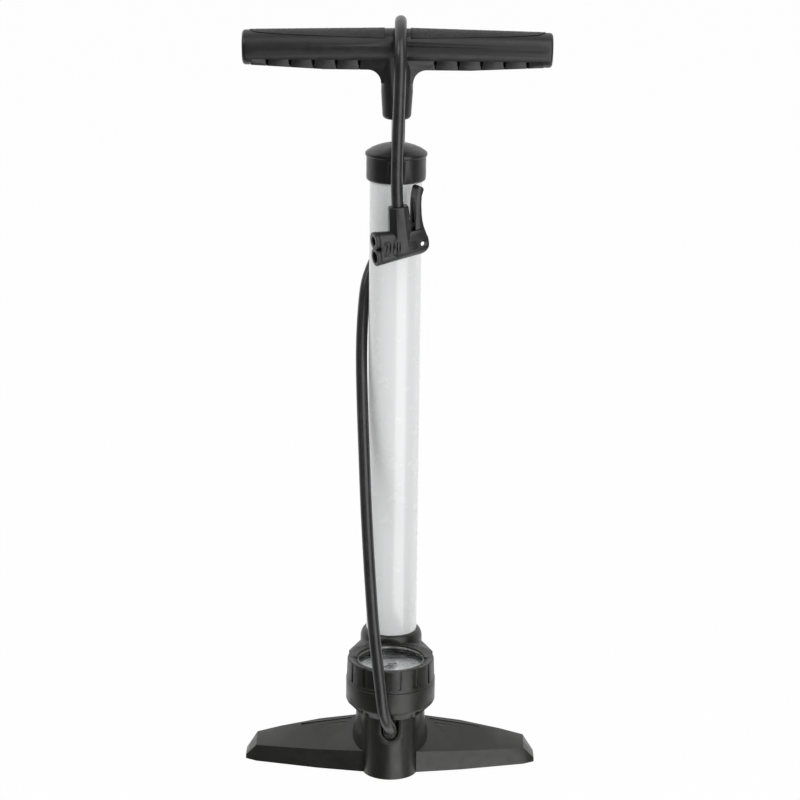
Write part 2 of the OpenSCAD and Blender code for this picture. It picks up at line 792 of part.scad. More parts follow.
module head_lever() {
    color(black) in_head() translate([pin_x, 0, 0]) difference() {
        union() {
            translate([0, 0, -cam_throw]) y_rod(cam_r, -lever_half_w, lever_half_w);
            rotate([90, 0, 0]) translate([0, 0, -lever_half_w]) linear_extrude(2 * lever_half_w)
                polygon(concat(
                    [[-3.4, 0], [4.4, -2], [5, 3], [4.4, 8], [3.3, 12], [2.7, 16], [2.5, 21], [2.8, 28], [3.6, 33.5]],
                    arc([3.3, 38.2], 2.2, -10, 170, 8),
                    [[-0.5, 33.5], [-1.4, 27], [-1.9, 21], [-3.2, 10]]
                ));
        }
        y_rod(1.55, -12, 12);
        // shallow hollow along the thumb side
        block(-6, -0.6, -3.4, 3.4, 14, 32);
    }
}

// ---- Assembly ----

base_body();
upper_shell();
left_foot_pad();
right_foot_pad();
front_foot_pad();
housing_screws();
barrel();
barrel_gasket();
valve_seat();
valve_poppet();
valve_spring();
barrel_cap();
rod_bush();
rod_wiper();
top_bumper();
gauge_case();
gauge_socket();
bourdon_tube();
gauge_movement();
gauge_dial();
gauge_needle();
gauge_lens();
trim_ring();
hose_elbow();
hose_boot();
hose_lower();
hose_upper();
handle_body();
left_grip_pad();
right_grip_pad();
handle_pin();
rod();
piston_body();
piston_cup_seal();
piston_washer();
piston_nut();
head_body();
head_end_cap();
schrader_gasket();
presta_gasket();
head_pusher();
lever_pin();
head_lever();
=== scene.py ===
"""Looks, hose, lights and camera of a floor bicycle pump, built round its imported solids."""

import json
import logging
import math
from dataclasses import dataclass, field
from enum import Enum

import bmesh
import bpy
from mathutils import Matrix, Vector

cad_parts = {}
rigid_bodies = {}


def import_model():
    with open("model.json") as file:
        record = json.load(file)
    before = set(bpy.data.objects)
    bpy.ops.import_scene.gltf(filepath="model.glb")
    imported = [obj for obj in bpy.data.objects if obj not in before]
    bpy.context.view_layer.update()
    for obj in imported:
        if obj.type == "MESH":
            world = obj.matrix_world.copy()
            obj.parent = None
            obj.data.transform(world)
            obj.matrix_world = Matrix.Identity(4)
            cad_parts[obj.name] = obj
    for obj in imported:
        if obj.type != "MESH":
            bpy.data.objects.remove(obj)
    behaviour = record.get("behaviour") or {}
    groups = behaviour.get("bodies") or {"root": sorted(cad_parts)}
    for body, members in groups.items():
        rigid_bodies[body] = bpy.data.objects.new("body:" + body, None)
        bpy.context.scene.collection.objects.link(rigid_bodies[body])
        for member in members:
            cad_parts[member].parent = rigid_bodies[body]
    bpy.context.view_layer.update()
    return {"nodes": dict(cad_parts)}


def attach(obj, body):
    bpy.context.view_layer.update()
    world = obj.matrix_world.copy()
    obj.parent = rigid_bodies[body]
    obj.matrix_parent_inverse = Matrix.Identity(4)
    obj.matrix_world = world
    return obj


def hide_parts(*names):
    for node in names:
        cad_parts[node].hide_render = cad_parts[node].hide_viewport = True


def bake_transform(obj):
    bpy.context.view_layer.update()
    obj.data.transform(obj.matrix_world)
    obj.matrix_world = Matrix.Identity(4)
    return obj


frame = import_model()

log = logging.getLogger("pump")
MM = 0.001
WELD = 2e-6
FLAT_TURN = 0.6
Triple = tuple[float, float, float]
Colour = Triple


class Body(Enum):
    """The rigid bodies that the made pieces ride on."""

    FRAME = "frame"
    PLUNGER = "plunger"
    LEVER = "lever"


# ---------------------------------------------------------------- materials


class Tree:
    """A material's node tree, with short calls for the nodes that the finishes use."""

    def __init__(self, name: str) -> None:
        """Make an empty material called name."""
        self.material = bpy.data.materials.new(name)
        self.material.use_nodes = True
        self.tree = self.material.node_tree
        self.tree.nodes.clear()
        self.output = self.add("ShaderNodeOutputMaterial")
        self.place = self.add("ShaderNodeTexCoord")

    def add(self, kind: str, **values: object) -> bpy.types.Node:
        """Add a node and set its sockets.

        Args:
            kind: the node's type name.
            values: socket names in lower case with underscores, and their values.

        Returns:
            The new node.
        """
        node = self.tree.nodes.new(kind)
        for socket in node.inputs:
            key = socket.name.lower().replace(" ", "_")
            if key in values:
                socket.default_value = values.pop(key)
        for key, value in values.items():
            setattr(node, key, value)
        return node

    def join(self, source: bpy.types.NodeSocket, target: bpy.types.NodeSocket) -> None:
        """Link source to target."""
        self.tree.links.new(source, target)

    def noise(self, scale: float, detail: float = 3.0, stretch: Triple = (1, 1, 1)) -> bpy.types.NodeSocket:
        """Noise on object coordinates.

        Args:
            scale: cells for each metre.
            detail: octaves.
            stretch: scale along each axis.

        Returns:
            The noise's factor socket.
        """
        node = self.add("ShaderNodeTexNoise", scale=scale, detail=detail)
        self.join(self.mapped(stretch), node.inputs["Vector"])
        return node.outputs["Fac"]

    def mapped(self, stretch: Triple) -> bpy.types.NodeSocket:
        """Object coordinates, scaled along each axis by stretch."""
        if stretch == (1, 1, 1):
            return self.place.outputs["Object"]
        node = self.add("ShaderNodeMapping", scale=stretch)
        self.join(self.place.outputs["Object"], node.inputs["Vector"])
        return node.outputs["Vector"]

    def cells(self, scale: float) -> bpy.types.NodeSocket:
        """Distance to the nearest of a scatter of points, scale points for each metre."""
        node = self.add("ShaderNodeTexVoronoi", scale=scale)
        self.join(self.place.outputs["Object"], node.inputs["Vector"])
        return node.outputs["Distance"]

    def spread(self, factor: bpy.types.NodeSocket, low: float, high: float,
               start: float = 0.3, stop: float = 0.7) -> bpy.types.NodeSocket:
        """Map factor from start..stop to low..high, clamped."""
        node = self.add("ShaderNodeMapRange", from_min=start, from_max=stop, to_min=low, to_max=high)
        self.join(factor, node.inputs["Value"])
        return node.outputs["Result"]

    def blend(self, factor: bpy.types.NodeSocket, first: Colour, second: Colour) -> bpy.types.NodeSocket:
        """Mix two colours by factor."""
        node = self.add("ShaderNodeMix", data_type="RGBA")
        node.inputs[6].default_value = (*first, 1)
        node.inputs[7].default_value = (*second, 1)
        self.join(factor, node.inputs["Factor"])
        return node.outputs[2]

    def bump(self, height: bpy.types.NodeSocket, distance: float, strength: float = 1.0,
             under: bpy.types.NodeSocket | None = None) -> bpy.types.NodeSocket:
        """A bump of distance metres, laid over an earlier bump where there is one."""
        node = self.add("ShaderNodeBump", distance=distance, strength=strength)
        self.join(height, node.inputs["Height"])
        if under is not None:
            self.join(under, node.inputs["Normal"])
        return node.outputs["Normal"]

    def wear(self, reach: float) -> bpy.types.NodeSocket:
        """A factor that is 1 on worn convex edges and 0 elsewhere."""
        node = self.add("ShaderNodeNewGeometry")
        sharp = self.spread(node.outputs["Pointiness"], 0.0, 1.0, 0.53, 0.60)
        patch = self.spread(self.noise(90.0, 4.0), 0.2, 1.0, 0.35, 0.65)
        product = self.add("ShaderNodeMath", operation="MULTIPLY")
        self.join(sharp, product.inputs[0])
        self.join(patch, product.inputs[1])
        scaled = self.add("ShaderNodeMath", operation="MULTIPLY")
        self.join(product.outputs[0], scaled.inputs[0])
        scaled.inputs[1].default_value = reach
        return scaled.outputs[0]


def shader(tree: Tree, roughness: float, metallic: float = 0.0, specular: float = 0.5, coat: float = 0.0,
           coat_roughness: float = 0.1, transmission: float = 0.0, ior: float = 1.5,
           sheen: float = 0.0) -> bpy.types.Node:
    """A principled shader whose constant values stand on its own sockets.

    Args:
        tree: the material's tree.
        roughness: surface roughness.
        metallic: 1 for bare metal.
        specular: specular level.
        coat: weight of the clear coat.
        coat_roughness: roughness of the clear coat.
        transmission: 1 for glass.
        ior: index of refraction.
        sheen: weight of the soft sheen.

    Returns:
        The shader node, already linked to the output.
    """
    node = tree.add("ShaderNodeBsdfPrincipled", roughness=roughness, metallic=metallic, ior=ior,
                    specular_ior_level=specular, coat_weight=coat, coat_roughness=coat_roughness,
                    transmission_weight=transmission, sheen_weight=sheen)
    tree.join(node.outputs["BSDF"], tree.output.inputs["Surface"])
    return node


@dataclass(frozen=True)
class Plastic:
    """Moulded plastic with a spark-eroded grain."""

    name: str
    colour: Colour
    pale: Colour
    roughness: float = 0.42
    grain: float = 2600.0
    grain_height: float = 0.00003
    specular: float = 0.45
    edge_wear: float = 0.25

    def material(self) -> bpy.types.Material:
        """Build the material."""
        tree = Tree(self.name)
        node = shader(tree, self.roughness, specular=self.specular)
        cloud = tree.spread(tree.noise(38.0, 5.0), 0.0, 0.55)
        worn = tree.wear(self.edge_wear)
        total = tree.add("ShaderNodeMath", operation="MAXIMUM")
        tree.join(cloud, total.inputs[0])
        tree.join(worn, total.inputs[1])
        tree.join(tree.blend(total.outputs[0], self.colour, self.pale), node.inputs["Base Color"])
        rough = tree.spread(tree.noise(150.0, 4.0), self.roughness - 0.06, self.roughness + 0.08)
        tree.join(rough, node.inputs["Roughness"])
        grain = tree.bump(tree.noise(self.grain, 2.0), self.grain_height, 0.7)
        tree.join(tree.bump(tree.noise(120.0, 2.0), 0.00006, 0.25, grain), node.inputs["Normal"])
        return tree.material


@dataclass(frozen=True)
class Rubber:
    """Soft rubber with a pebbled skin."""

    name: str
    colour: Colour
    dusty: Colour
    roughness: float = 0.6
    pebble: float = 900.0
    pebble_height: float = 0.00016

    def material(self) -> bpy.types.Material:
        """Build the material."""
        tree = Tree(self.name)
        node = shader(tree, self.roughness, specular=0.4, sheen=0.06)
        dust = tree.spread(tree.noise(60.0, 6.0), 0.0, 0.7)
        tree.join(tree.blend(dust, self.colour, self.dusty), node.inputs["Base Color"])
        rough = tree.spread(tree.noise(240.0, 3.0), self.roughness - 0.08, self.roughness + 0.1)
        tree.join(rough, node.inputs["Roughness"])
        pebbles = tree.spread(tree.cells(self.pebble), 1.0, 0.0, 0.1, 0.7)
        fine = tree.bump(tree.noise(3500.0, 2.0), 0.00002, 0.5)
        tree.join(tree.bump(pebbles, self.pebble_height, 0.8, fine), node.inputs["Normal"])
        return tree.material


@dataclass(frozen=True)
class HoseSkin:
    """Extruded hose rubber, smooth round the hose and faintly drawn along it."""

    name: str
    colour: Colour
    scuffed: Colour
    roughness: float = 0.33

    def material(self) -> bpy.types.Material:
        """Build the material on the hose's own UV map, which runs along its length."""
        tree = Tree(self.name)
        node = shader(tree, self.roughness, specular=0.5, coat=0.15, coat_roughness=0.25)
        drawn = tree.add("ShaderNodeMapping", scale=(60.0, 1.2, 1.0))
        tree.join(tree.place.outputs["UV"], drawn.inputs["Vector"])
        lines = tree.add("ShaderNodeTexNoise", scale=6.0, detail=3.0)
        tree.join(drawn.outputs["Vector"], lines.inputs["Vector"])
        scuff = tree.spread(tree.noise(70.0, 6.0), 0.0, 0.8, 0.45, 0.75)
        tree.join(tree.blend(scuff, self.colour, self.scuffed), node.inputs["Base Color"])
        rough = tree.spread(tree.noise(180.0, 4.0), self.roughness - 0.05, self.roughness + 0.1)
        tree.join(rough, node.inputs["Roughness"])
        drawn_bump = tree.bump(lines.outputs["Fac"], 0.00004, 0.4)
        tree.join(tree.bump(tree.noise(2200.0, 2.0), 0.000015, 0.4, drawn_bump), node.inputs["Normal"])
        return tree.material


@dataclass(frozen=True)
class Paint:
    """Gloss powder coat with a faint orange peel."""

    name: str
    colour: Colour
    shade: Colour
    roughness: float = 0.24

    def material(self) -> bpy.types.Material:
        """Build the material."""
        tree = Tree(self.name)
        node = shader(tree, self.roughness, specular=0.5, coat=0.5, coat_roughness=0.08)
        cloud = tree.spread(tree.noise(16.0, 4.0), 0.0, 1.0)
        tree.join(tree.blend(cloud, self.colour, self.shade), node.inputs["Base Color"])
        rough = tree.spread(tree.noise(90.0, 4.0), self.roughness - 0.03, self.roughness + 0.05)
        tree.join(rough, node.inputs["Roughness"])
        tree.join(tree.bump(tree.noise(420.0, 1.0), 0.00004, 0.12), node.inputs["Normal"])
        return tree.material


@dataclass(frozen=True)
class Metal:
    """Bare metal, brushed along one axis."""

    name: str
    colour: Colour
    dull: Colour
    roughness: float = 0.25
    brush: Triple = (1, 1, 0.03)
    lines: float = 1800.0

    def material(self) -> bpy.types.Material:
        """Build the material."""
        tree = Tree(self.name)
        node = shader(tree, self.roughness, metallic=1.0)
        stain = tree.spread(tree.noise(110.0, 5.0), 0.0, 1.0)
        tree.join(tree.blend(stain, self.colour, self.dull), node.inputs["Base Color"])
        strokes = tree.noise(self.lines, 2.0, self.brush)
        rough = tree.spread(strokes, self.roughness - 0.06, self.roughness + 0.1)
        tree.join(rough, node.inputs["Roughness"])
        tree.join(tree.bump(strokes, 0.00001, 0.3), node.inputs["Normal"])
        return tree.material


@dataclass(frozen=True)
class Lens:
    """Clear moulded lens with faint rubs."""

    name: str
    colour: Colour

    def material(self) -> bpy.types.Material:
        """Build the material."""
        tree = Tree(self.name)
        node = shader(tree, 0.03, transmission=1.0, ior=1.3)
        node.inputs["Base Color"].default_value = (*self.colour, 1)
        rub = tree.spread(tree.noise(320.0, 5.0, (1, 0.15, 1)), 0.02, 0.07, 0.5, 0.8)
        tree.join(rub, node.inputs["Roughness"])
        return tree.material


class Kit:
    """Every finish of the pump, made once."""

    def __init__(self) -> None:
        """Build all the materials."""
        self.base = Plastic(
            "base_plastic", (0.0125, 0.0128, 0.0115), (0.021, 0.0215, 0.0195), 0.36).material()
        self.bezel = Plastic(
            "bezel_plastic", (0.0095, 0.0097, 0.009), (0.016, 0.0164, 0.0152), 0.34).material()
        self.handle = Plastic(
            "handle_plastic", (0.009, 0.009, 0.0093), (0.015, 0.0151, 0.0155), 0.36).material()
        self.cap = Plastic("cap_plastic", (0.009, 0.009, 0.0092), (0.018, 0.018, 0.0185), 0.33).material()
        self.head = Plastic(
            "head_plastic", (0.0095, 0.0095, 0.0098), (0.017, 0.017, 0.0175), 0.34).material()
        self.lever = Plastic("lever_plastic", (0.010, 0.010, 0.0105), (0.022, 0.022, 0.023), 0.32).material()
        self.guide = Plastic("guide_plastic", (0.6, 0.6, 0.57), (0.7, 0.7, 0.68), 0.4).material()
        self.needle = Plastic("needle_paint", (0.01, 0.01, 0.01), (0.02, 0.02, 0.02), 0.4).material()
        self.grip = Rubber("grip_rubber", (0.011, 0.011, 0.0115), (0.022, 0.022, 0.023), 0.55).material()
        self.seal = Rubber(
            "seal_rubber", (0.012, 0.012, 0.012), (0.03, 0.03, 0.03), 0.65, 1500.0, 0.00005).material()
        self.hose = HoseSkin("hose_rubber", (0.010, 0.010, 0.0108), (0.024, 0.024, 0.025)).material()
        self.paint = Paint("barrel_paint", (0.80, 0.805, 0.81), (0.775, 0.78, 0.785)).material()
        self.steel = Metal("rod_steel", (0.62, 0.63, 0.65), (0.5, 0.51, 0.53), 0.2).material()
        self.ring = Metal(
            "ring_metal", (0.3, 0.3, 0.29), (0.22, 0.22, 0.21), 0.3, (1, 1, 1), 900.0).material()
        self.brass = Metal("valve_brass", (0.72, 0.55, 0.28), (0.55, 0.4, 0.18), 0.3).material()
        self.dial = Metal(
            "dial_sheet", (0.86, 0.85, 0.83), (0.78, 0.77, 0.75), 0.36, (0.03, 1, 1), 2400.0).material()
        self.lens = Lens("gauge_lens_clear", (0.96, 0.98, 1.0)).material()
        self.print = Plastic("dial_print", (0.02, 0.02, 0.022), (0.04, 0.04, 0.042), 0.5).material()


# ---------------------------------------------------------------- mesh helpers


def dress(thing: bpy.types.Object, material: bpy.types.Material) -> None:
    """Give thing one material in place of what it has."""
    thing.data.materials.clear()
    thing.data.materials.append(material)


def soften(mesh: bpy.types.Mesh, sharp: float = 32.0) -> None:
    """Shade mesh smooth, except along edges that turn by more than sharp degrees."""
    mesh.shade_smooth()
    mesh.set_sharp_from_angle(angle=math.radians(sharp))


def new_object(name: str, mesh: bpy.types.Mesh, material: bpy.types.Material) -> bpy.types.Object:
    """Link a mesh as an object at the origin and dress it."""
    thing = bpy.data.objects.new(name, mesh)
    bpy.context.scene.collection.objects.link(thing)
    dress(thing, material)
    return thing


def baked(thing: bpy.types.Object) -> None:
    """Replace thing's mesh by its evaluated mesh and take its modifiers away."""
    bpy.context.view_layer.update()
    graph = bpy.context.evaluated_depsgraph_get()
    mesh = bpy.data.meshes.new_from_object(thing.evaluated_get(graph))
    thing.modifiers.clear()
    old = thing.data
    thing.data = mesh
    bpy.data.meshes.remove(old)


def eased_copy(node: str, name: str, material: bpy.types.Material, width: float = 0.0005,
               angle: float = 30.0, segments: int = 2) -> bpy.types.Object:
    """Copy a solid's mesh and round its edges, as a moulding's edges are.

    Args:
        node: the solid to copy.
        name: name of the new piece.
        material: its finish.
        width: how far the rounding reaches from each edge, in metres.
        angle: smallest turn of an edge that is rounded, in degrees.
        segments: steps in each rounding.

    Returns:
        The new piece.
    """
    work = bmesh.new()
    work.from_mesh(frame["nodes"][node].data)
    bmesh.ops.remove_doubles(work, verts=work.verts, dist=WELD)
    bmesh.ops.dissolve_limit(work, angle_limit=math.radians(FLAT_TURN), verts=work.verts,
                             edges=work.edges)
    mesh = bpy.data.meshes.new(name)
    work.to_mesh(mesh)
    work.free()
    thing = new_object(name, mesh, material)
    bevel = thing.modifiers.new("ease", "BEVEL")
    bevel.width = width
    bevel.segments = segments
    bevel.limit_method = "ANGLE"
    bevel.angle_limit = math.radians(angle)
    bevel.miter_outer = "MITER_ARC"
    bevel.harden_normals = False
    baked(thing)
    soften(thing.data, 38.0)
    return thing


def carry(thing: bpy.types.Object, body: Body, slot: str, *nodes: str) -> None:
    """Ride a finished piece on a body, and hide the solids it stands for."""
    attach(thing, body.value)
    if nodes:
        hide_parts(*nodes)
    log.info("%s rides on %s, %d faces", thing.name, body.value, len(thing.data.polygons))


# ---------------------------------------------------------------- repeated detail


class Pattern:
    """A Geometry Nodes tree with named inputs, run once on an object and then baked."""

    def __init__(self, name: str) -> None:
        """Make an empty tree called name with a geometry input and output."""
        self.tree = bpy.data.node_groups.new(name, "GeometryNodeTree")
        self.ids: dict[str, str] = {}
        self.tree.interface.new_socket("Geometry", in_out="INPUT", socket_type="NodeSocketGeometry")
        self.tree.interface.new_socket("Geometry", in_out="OUTPUT", socket_type="NodeSocketGeometry")
        self.source = self.tree.nodes.new("NodeGroupInput")
        self.sink = self.tree.nodes.new("NodeGroupOutput")

    def size(self, name: str, value: float, kind: str = "NodeSocketFloat") -> bpy.types.NodeSocket:
        """Add a named input with a default value and return its socket inside the tree."""
        socket = self.tree.interface.new_socket(name, in_out="INPUT", socket_type=kind)
        socket.default_value = value
        self.ids[name] = socket.identifier
        return self.source.outputs[name]

    def add(self, kind: str, **links: object) -> bpy.types.Node:
        """Add a node, and link or set its inputs.

        Args:
            kind: the node's type name.
            links: socket names in lower case with underscores, or distribute_method.

        Returns:
            The new node.
        """
        node = self.tree.nodes.new(kind)
        if "distribute_method" in links:
            node.distribute_method = links.pop("distribute_method")
        for socket in node.inputs:
            key = socket.name.lower().replace(" ", "_")
            if key in links and socket.enabled:
                value = links.pop(key)
                if isinstance(value, bpy.types.NodeSocket):
                    self.tree.links.new(value, socket)
                else:
                    socket.default_value = value
        return node

    def maths(self, operation: str, first: object, second: object) -> bpy.types.NodeSocket:
        """Combine two numbers or sockets."""
        node = self.tree.nodes.new("ShaderNodeMath")
        node.operation = operation
        for socket, value in zip(node.inputs, (first, second)):
            if isinstance(value, bpy.types.NodeSocket):
                self.tree.links.new(value, socket)
            else:
                socket.default_value = value
        return node.outputs[0]

    def end(self, instances: bpy.types.NodeSocket, material: bpy.types.Material) -> None:
        """Realize the instances and give them a material."""
        real = self.add("GeometryNodeRealizeInstances", geometry=instances)
        painted = self.add("GeometryNodeSetMaterial", geometry=real.outputs[0], material=material)
        self.tree.links.new(painted.outputs[0], self.sink.inputs[0])

    def run(self, thing: bpy.types.Object, **values: float) -> None:
        """Run the tree on thing with the given inputs, and bake the result."""
        modifier = thing.modifiers.new("pattern", "NODES")
        modifier.node_group = self.tree
        for name, value in values.items():
            modifier[self.ids[name]] = value
        baked(thing)


class DialMarks(Pattern):
    """Bars spread evenly along an arc about the z axis."""

    bar_height = 0.00004

    def __init__(self, material: bpy.types.Material) -> None:
        """Build the tree."""
        super().__init__("dial_marks")
        count = self.size("Count", 41, "NodeSocketInt")
        radius = self.size("Radius", 0.02)
        start = self.size("Start", math.radians(225))
        sweep = self.size("Sweep", math.radians(-270))
        length = self.size("Length", 0.0012)
        width = self.size("Width", 0.00018)
        points = self.add("GeometryNodePoints", count=count)
        index = self.add("GeometryNodeInputIndex")
        share = self.maths("DIVIDE", index.outputs[0], self.maths("SUBTRACT", count, 1.0))
        angle = self.maths("ADD", start, self.maths("MULTIPLY", share, sweep))
        place = self.add("ShaderNodeCombineXYZ",
                         x=self.maths("MULTIPLY", radius, self.maths("COSINE", angle, 0.0)),
                         y=self.maths("MULTIPLY", radius, self.maths("SINE", angle, 0.0)))
        moved = self.add("GeometryNodeSetPosition", geometry=points.outputs[0], position=place.outputs[0])
        box = self.add("ShaderNodeCombineXYZ", x=length, y=width, z=self.bar_height)
        bar = self.add("GeometryNodeMeshCube", size=box.outputs[0])
        turn = self.add("ShaderNodeCombineXYZ", z=angle)
        rotation = self.add("FunctionNodeEulerToRotation", euler=turn.outputs[0])
        bars = self.add("GeometryNodeInstanceOnPoints", points=moved.outputs[0], instance=bar.outputs[0],
                        rotation=rotation.outputs[0])
        self.end(bars.outputs[0], material)


class Pebbles(Pattern):
    """Low domes scattered over a surface, which stays under them."""

    most_per_area = 1600000.0

    def __init__(self, material: bpy.types.Material, seed: int = 7) -> None:
        """Build the tree."""
        super().__init__("pebbles")
        gap = self.size("Gap", 0.0009)
        radius = self.size("Radius", 0.00036)
        spots = self.add("GeometryNodeDistributePointsOnFaces", distribute_method="POISSON",
                         mesh=self.source.outputs["Geometry"], distance_min=gap,
                         density_max=self.most_per_area, seed=seed)
        dome = self.add("GeometryNodeMeshIcoSphere", radius=radius, subdivisions=1)
        flat = self.add("ShaderNodeCombineXYZ", x=1.0, y=1.0, z=0.5)
        domes = self.add("GeometryNodeInstanceOnPoints", points=spots.outputs["Points"],
                         instance=dome.outputs[0], rotation=spots.outputs["Rotation"],
                         scale=flat.outputs[0])
        both = self.tree.nodes.new("GeometryNodeJoinGeometry")
        self.tree.links.new(self.source.outputs["Geometry"], both.inputs[0])
        self.tree.links.new(domes.outputs[0], both.inputs[0])
        self.end(both.outputs[0], material)


# ---------------------------------------------------------------- view


@dataclass
class View:
    """The camera, placed by its distance, height and tilt."""

    place: Vector = field(default_factory=lambda: Vector((0.00466, -1.78356, 0.77633)))
    down: float = 15.4
    roll: float = 0.66
    lens: float = 112.5

    def build(self) -> None:
        """Create the camera and make it the scene's."""
        ahead = Vector((0, math.cos(math.radians(self.down)), -math.sin(math.radians(self.down))))
        right = Vector((1, 0, 0))
        above = right.cross(ahead)
        turn = math.radians(self.roll)
        side = right * math.cos(turn) + above * math.sin(turn)
        top = above * math.cos(turn) - right * math.sin(turn)
        data = bpy.data.cameras.new("camera")
        data.lens = self.lens
        data.sensor_width = 36.0
        data.clip_start = 0.05
        camera = bpy.data.objects.new("camera", data)
        bpy.context.scene.collection.objects.link(camera)
        matrix = Matrix((side, top, -ahead)).transposed().to_4x4()
        matrix.translation = self.place
        camera.matrix_world = matrix
        bpy.context.scene.camera = camera
        log.info("camera made")


# ---------------------------------------------------------------- hose


@dataclass
class Hose:
    """The air hose, one round tube along a smooth route."""

    route: tuple[Triple, ...] = (
        (0, -69.05, 52), (0, -74.2, 55), (-1.2, -80, 59.3), (-3, -86.2, 66), (-5.2, -90.4, 76.5),
        (-7.4, -91.2, 95), (-9.8, -87.6, 114), (-12.3, -81.6, 134), (-14.3, -73, 154), (-17, -58, 186),
        (-19.3, -42.5, 218), (-21.2, -27, 252), (-22.9, -13, 284), (-24, -1, 316), (-23.6, 8, 342),
        (-21.6, 16.2, 366), (-18, 21.5, 379), (-12.5, 25, 391), (-6.5, 27.8, 403), (-1.8, 29.7, 418),
        (0.6, 31, 435), (1.4, 31.8, 452), (1.8, 32.5, 475), (2.1, 33, 503), (2.2, 33, 531),
        (2.2, 28.6, 547.5), (2.2, 16.5, 559.6), (2.2, 0, 564), (2.2, -16.5, 559.6), (2.2, -28.6, 547.5),
        (2.1, -33, 531), (1.5, -33, 505), (0.8, -33.6, 480), (0.6, -34.6, 457), (1.1, -35.2, 441),
        (2.1, -34.7, 428.6),
    )
    diameter: float = 0.0085
    sides: int = 24
    steps: int = 6
    skin_repeat: float = 40
    thing: bpy.types.Object | None = None

    def line(self) -> list[Vector]:
        """Points of the smooth centre line, in metres."""
        points = [Vector(p) * MM for p in self.route]
        last = len(points) - 1
        out = []
        for i in range(last):
            a, b = points[max(i - 1, 0)], points[i]
            c, d = points[i + 1], points[min(i + 2, last)]
            for k in range(self.steps):
                t = k / self.steps
                out.append(0.5 * (2 * b + (c - a) * t + (2 * a - 5 * b + 4 * c - d) * t * t
                                  + (3 * b - a - 3 * c + d) * t * t * t))
        out.append(points[last])
        return out

    def tube(self, line: list[Vector]) -> bpy.types.Mesh:
        """Sweep the round section along line, with a UV map that runs along it."""
        radius = self.diameter / 2
        side = Vector((1, 0, 0))
        work = bmesh.new()
        uv = work.loops.layers.uv.new("along")
        rings, travelled, run = [], [0.0], 0.0
        for i, point in enumerate(line):
            ahead = (line[min(i + 1, len(line) - 1)] - line[max(i - 1, 0)]).normalized()
            side = (side - ahead * side.dot(ahead)).normalized()
            other = ahead.cross(side)
            angles = [2 * math.pi * k / self.sides for k in range(self.sides)]
            rings.append([work.verts.new(point + radius * (math.cos(a) * side + math.sin(a) * other))
                          for a in angles])
            if i:
                run += (point - line[i - 1]).length
                travelled.append(run)
        for i in range(len(rings) - 1):
            for k in range(self.sides):
                n = (k + 1) % self.sides
                face = work.faces.new((rings[i][k], rings[i][n], rings[i + 1][n], rings[i + 1][k]))
                corners = ((k, i), (k + 1, i), (k + 1, i + 1), (k, i + 1))
                for loop, (across, along) in zip(face.loops, corners):
                    loop[uv].uv = (across / self.sides, travelled[along] * self.skin_repeat)
        work.faces.new(list(reversed(rings[0])))
        work.faces.new(rings[-1])
        mesh = bpy.data.meshes.new("hose")
        work.to_mesh(mesh)
        work.free()
        soften(mesh, 50.0)
        return mesh

    def build(self, kit: Kit) -> None:
        line = self.line()
        length = sum((b - a).length for a, b in zip(line, line[1:]))
        hose = new_object("hose", self.tube(line), kit.hose)
        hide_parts("hose_lower", "hose_upper")
        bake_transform(hose)
        self.thing = hose
        log.info("hose made, %.0f mm long", length / MM)

    def declare(self, fitting: list[bpy.types.Object]) -> None:
        """Do nothing: neither the hose nor the pieces on its far end are declared."""


# ---------------------------------------------------------------- stage


